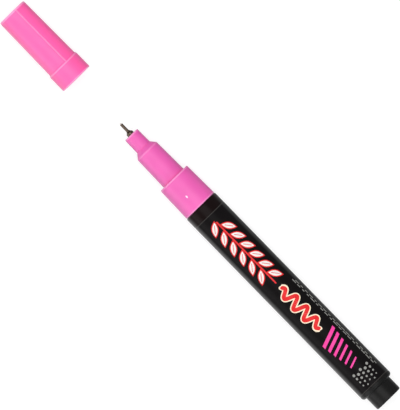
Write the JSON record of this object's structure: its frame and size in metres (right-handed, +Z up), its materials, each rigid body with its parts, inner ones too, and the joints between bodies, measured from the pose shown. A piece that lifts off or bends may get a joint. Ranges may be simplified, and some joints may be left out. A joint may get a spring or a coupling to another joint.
{
  "type": "liquid chalk marker",
  "caption": "Liquid chalk marker with a needle tip fed by a spring valve, a tank barrel in printed film, a loose mixing ball, a tail plug and a pull-off cap with a sealing liner.",
  "frame": {"origin": "on the surface that the marker lies on, under the middle of the marker and its cap", "axes": "+X along the marker's axis from the tip to the tail, +Z up, +Y across"},
  "size_m": [0.173, 0.0124, 0.0125],
  "materials": {
    "black_plastic": "glossy black-brown plastic",
    "printed_film": "black printed film with a coloured pattern",
    "matt_black_plastic": "matt black plastic",
    "pink_plastic": "satin pink plastic",
    "black_rubber": "black rubber",
    "white_plastic": "natural white plastic",
    "steel": "drawn stainless steel",
    "nib_fibre": "pale fibre core"
  },
  "bodies": {
    "marker": {"barrel": "black_plastic", "barrel_label": "printed_film", "tail_plug": "matt_black_plastic", "front_section": "pink_plastic", "barrel_seal": "black_rubber", "valve_seat": "white_plastic", "valve_spring": "steel", "valve_cage": "white_plastic"},
    "tip": {"tip_holder": "white_plastic", "needle_sleeve": "steel", "nib_core": "nib_fibre", "valve_stem": "white_plastic", "valve_gasket": "black_rubber"},
    "cap": {"cap": "pink_plastic", "inner_cap": "white_plastic"},
    "ball": {"mixing_ball": "steel"}
  },
  "joints": [
    {"name": "cap_slide", "type": "slide", "parent": "marker", "child": "cap", "axis": [1, 0, 0], "range_m": [0, 0.04425]},
    {"name": "tip_press", "type": "slide", "parent": "marker", "child": "tip", "axis": [1, 0, 0], "range_m": [0, 0.0018], "stiffness_N_per_m": 500, "springref_m": -0.003, "deforming": ["valve_spring"]},
    {"name": "ball_roll", "type": "slide", "parent": "marker", "child": "ball", "axis": [-1, 0, 0], "range_m": [0, 0.04975]}
  ]
}
